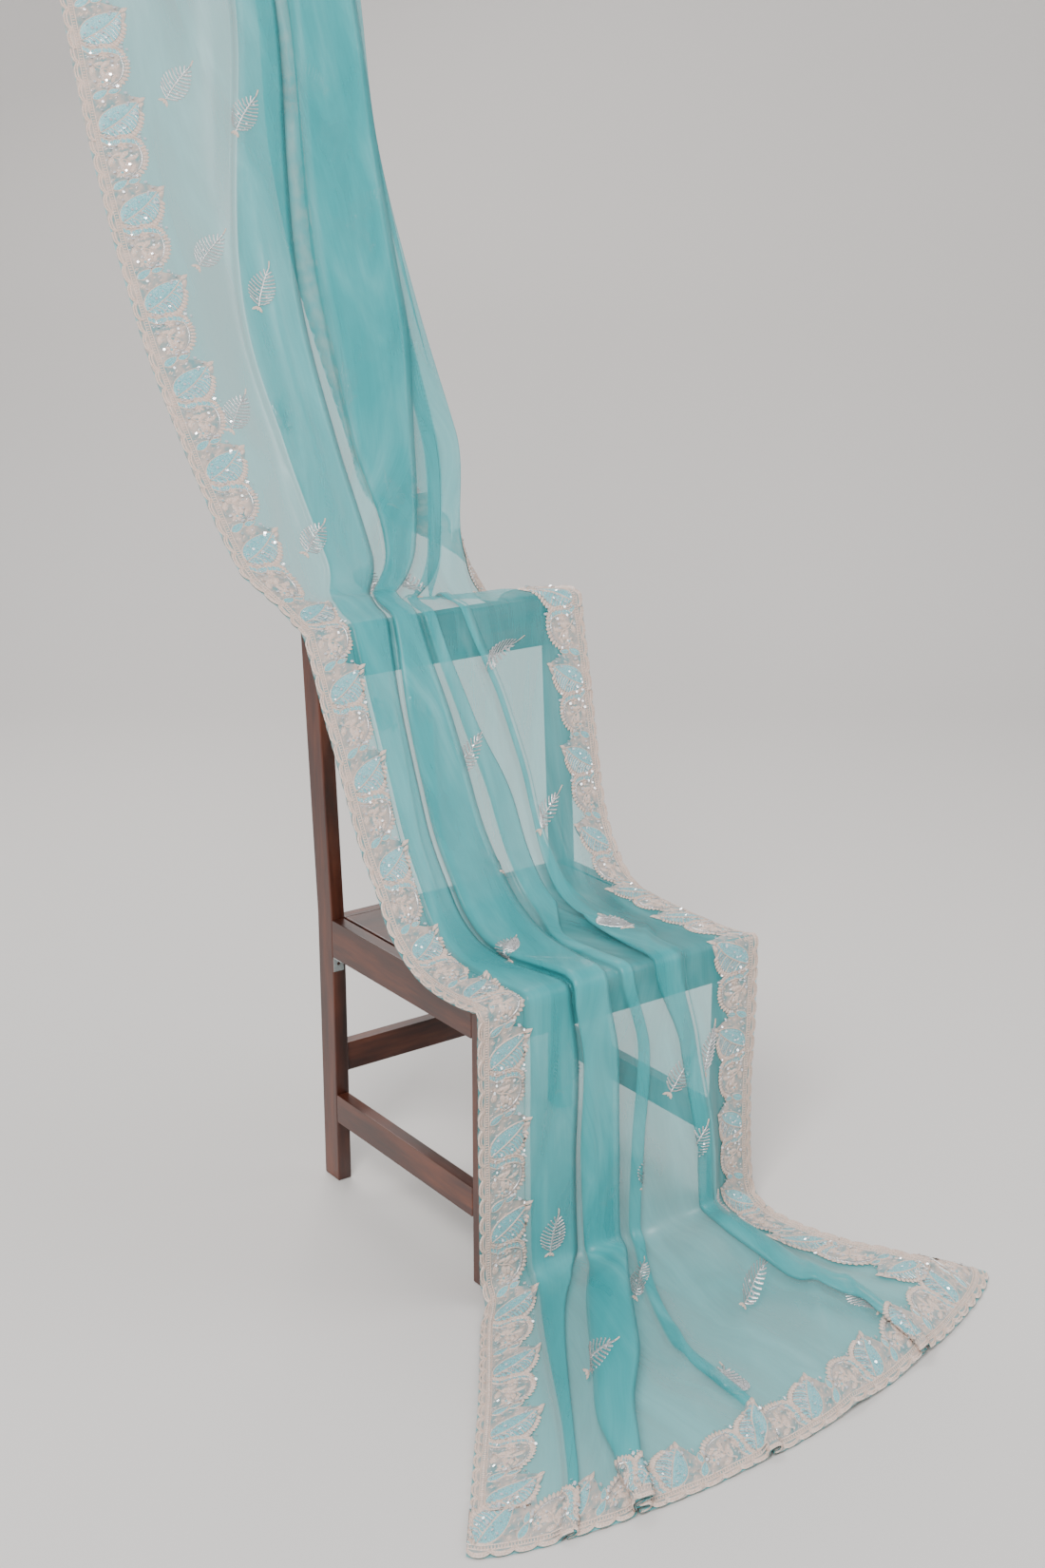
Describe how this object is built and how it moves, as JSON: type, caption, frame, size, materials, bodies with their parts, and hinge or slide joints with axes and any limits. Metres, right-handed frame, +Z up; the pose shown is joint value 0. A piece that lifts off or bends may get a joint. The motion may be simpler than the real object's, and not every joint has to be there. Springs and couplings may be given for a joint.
{
  "type": "saree draped over a wooden chair",
  "caption": "Sheer organza saree with embroidered scalloped borders, falling from above over a plain wooden chair and spreading on the floor.",
  "frame": {"origin": "middle of the underside of the whole object's box, on the floor", "axes": "+Z up; the chair faces -Y and the cloth spreads on the floor towards -Y; +X to the viewer's right"},
  "size_m": [0.9834, 1.4536, 1.8891],
  "materials": {
    "organza": "sheer, silky",
    "embroidery": "embroidered satin and silver thread",
    "dark_wood": "varnished",
    "plated_steel": "dull zinc plating"
  },
  "bodies": {
    "root": {"floor_spread": "organza", "left_border_floor_spread": "embroidery", "right_border_floor_spread": "embroidery", "end_border": "embroidery", "front_drop": "organza", "left_border_front_drop": "embroidery", "right_border_front_drop": "embroidery", "seat_drape": "organza", "left_border_seat_drape": "embroidery", "right_border_seat_drape": "embroidery", "back_drape": "organza", "left_border_back_drape": "embroidery", "right_border_back_drape": "embroidery", "hanging_fall": "organza", "left_border_hanging_fall": "embroidery", "right_border_hanging_fall": "embroidery", "front_leg_left": "dark_wood", "back_post_left": "dark_wood", "side_seat_rail_left": "dark_wood", "side_stretcher_left": "dark_wood", "front_leg_right": "dark_wood", "back_post_right": "dark_wood", "side_seat_rail_right": "dark_wood", "side_stretcher_right": "dark_wood", "front_seat_rail": "dark_wood", "rear_seat_rail": "dark_wood", "rear_stretcher": "dark_wood", "seat_board": "dark_wood", "top_rail": "dark_wood"}
  },
  "joints": []
}
